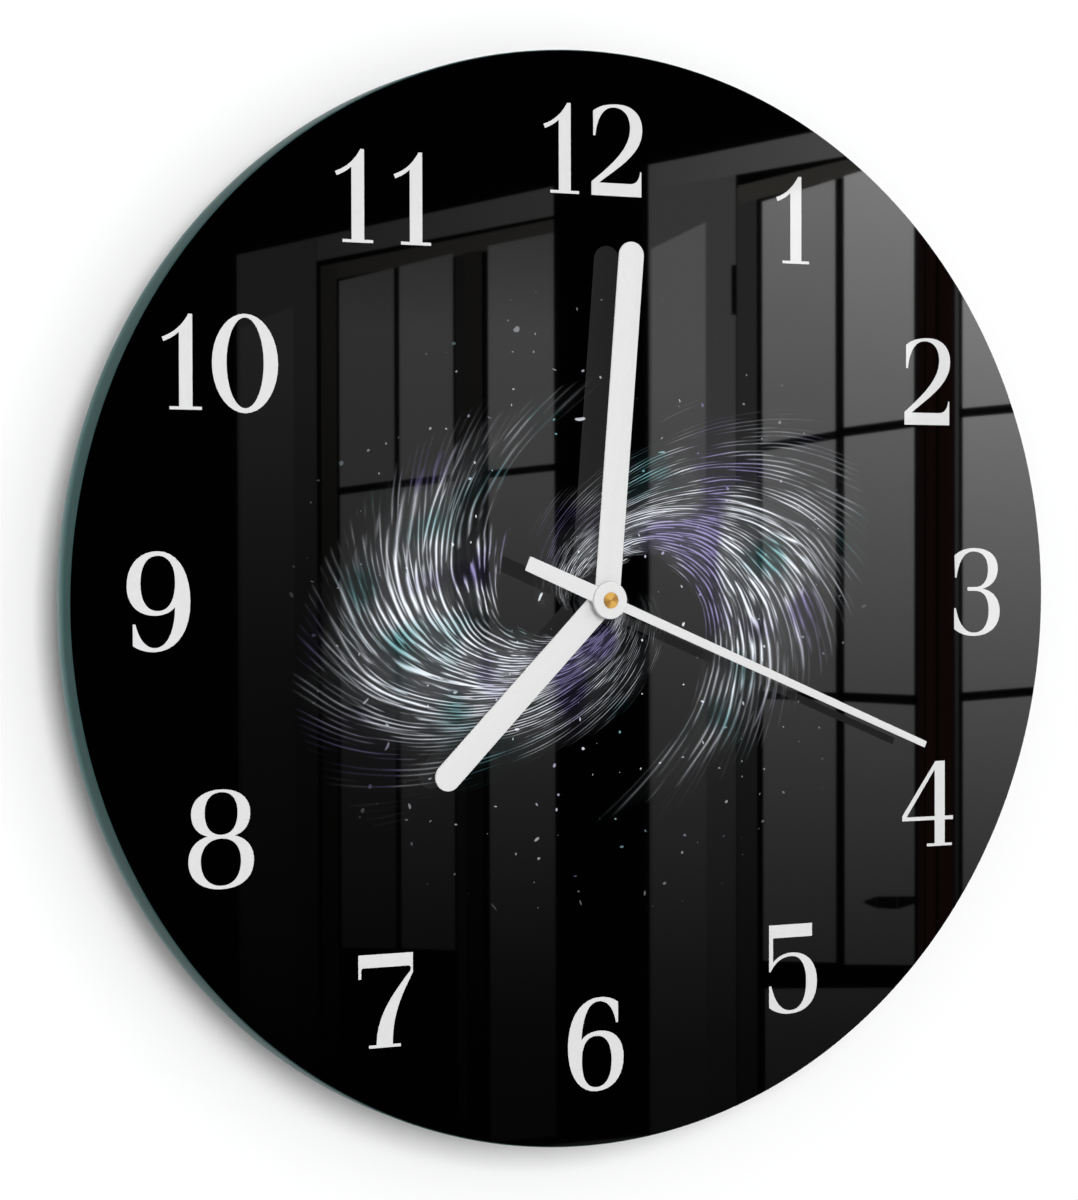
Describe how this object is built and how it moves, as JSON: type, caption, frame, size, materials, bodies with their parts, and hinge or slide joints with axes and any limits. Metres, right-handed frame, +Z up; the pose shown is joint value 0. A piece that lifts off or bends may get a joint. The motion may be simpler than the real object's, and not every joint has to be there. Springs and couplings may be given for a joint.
{
  "type": "glass wall clock",
  "caption": "Round frameless glass wall clock with a printed face, baton hands and a quartz movement on a keyhole hanger.",
  "frame": {"origin": "on the axis of the hands, at the back face of the movement that rests on the wall", "axes": "+Z up towards the twelve, -Y out of the dial towards the viewer, +Y into the wall, +X towards the three"},
  "size_m": [0.3, 0.0381, 0.3],
  "materials": {
    "glass": "ground and clear",
    "print": "gloss",
    "rubber": "matt",
    "black_metal": "satin",
    "brass": "turned",
    "plated_steel": "satin",
    "case_moulding": "fine spark",
    "white_moulding": "satin",
    "white_paint": "satin",
    "magnet": "ground",
    "soft_iron": "satin",
    "copper": "enamelled wire",
    "board": "satin",
    "resin": "satin",
    "cell_wrap": "satin"
  },
  "bodies": {
    "clock_body": {"glass_dial": "glass", "dial_print": "print", "rubber_gasket": "rubber", "front_washer": "black_metal", "hand_nut": "black_metal", "threaded_bush": "brass", "hanger_bracket": "plated_steel", "case_front": "case_moulding", "rear_cover": "case_moulding", "middle_plate": "white_moulding", "stator": "soft_iron", "coil_core": "soft_iron", "coil_bobbin": "white_moulding", "coil_winding": "copper", "circuit_board": "board", "timing_chip": "resin", "quartz_crystal": "plated_steel", "contact_positive": "plated_steel", "contact_negative": "plated_steel"},
    "hour": {"hour_hand": "white_paint", "hour_wheel": "white_moulding"},
    "minute": {"minute_hand": "white_paint", "cannon_pinion": "brass", "centre_wheel": "white_moulding"},
    "second": {"second_hand": "white_paint", "second_hand_pin": "brass", "seconds_wheel": "white_moulding"},
    "third": {"third_wheel": "white_moulding"},
    "intermediate": {"intermediate_wheel": "white_moulding"},
    "rotor": {"rotor_pinion": "white_moulding", "rotor_magnet": "magnet"},
    "motion": {"motion_wheel": "white_moulding"},
    "knob": {"setting_knob": "white_moulding"},
    "cell": {"battery": "cell_wrap"}
  },
  "joints": [
    {"name": "minute_turn", "type": "hinge", "parent": "clock_body", "child": "minute", "pos_m": [0, 0, 0], "axis": [0, 1, 0], "continuous": true},
    {"name": "hour_turn", "type": "hinge", "parent": "clock_body", "child": "hour", "pos_m": [0, 0, 0], "axis": [0, 1, 0], "continuous": true},
    {"name": "second_turn", "type": "hinge", "parent": "clock_body", "child": "second", "pos_m": [0, 0, 0], "axis": [0, 1, 0], "continuous": true},
    {"name": "third_wheel_turn", "type": "hinge", "parent": "clock_body", "child": "third", "pos_m": [0, 0, 0.00792], "axis": [0, 1, 0], "continuous": true},
    {"name": "intermediate_wheel_turn", "type": "hinge", "parent": "clock_body", "child": "intermediate", "pos_m": [-0.00686, 0, 0.00396], "axis": [0, 1, 0], "continuous": true},
    {"name": "rotor_turn", "type": "hinge", "parent": "clock_body", "child": "rotor", "pos_m": [-0.01268, 0, 0.00732], "axis": [0, 1, 0], "continuous": true},
    {"name": "motion_wheel_turn", "type": "hinge", "parent": "clock_body", "child": "motion", "pos_m": [0.006, 0, 0], "axis": [0, 1, 0], "continuous": true},
    {"name": "setting_knob_turn", "type": "hinge", "parent": "clock_body", "child": "knob", "pos_m": [0.01164, 0, 0.00205], "axis": [0, 1, 0], "continuous": true},
    {"name": "battery_pull", "type": "slide", "parent": "clock_body", "child": "cell", "axis": [0, 1, 0], "range_m": [0, 0.018]}
  ],
  "couplings": [
    {"joint": "hour_turn", "follows": "minute_turn", "ratio": 0.083333},
    {"joint": "second_turn", "follows": "minute_turn", "ratio": 60},
    {"joint": "third_wheel_turn", "follows": "minute_turn", "ratio": -7.5},
    {"joint": "intermediate_wheel_turn", "follows": "minute_turn", "ratio": -300},
    {"joint": "rotor_turn", "follows": "minute_turn", "ratio": 1800},
    {"joint": "motion_wheel_turn", "follows": "minute_turn", "ratio": -0.33333},
    {"joint": "setting_knob_turn", "follows": "minute_turn", "ratio": 1}
  ]
}
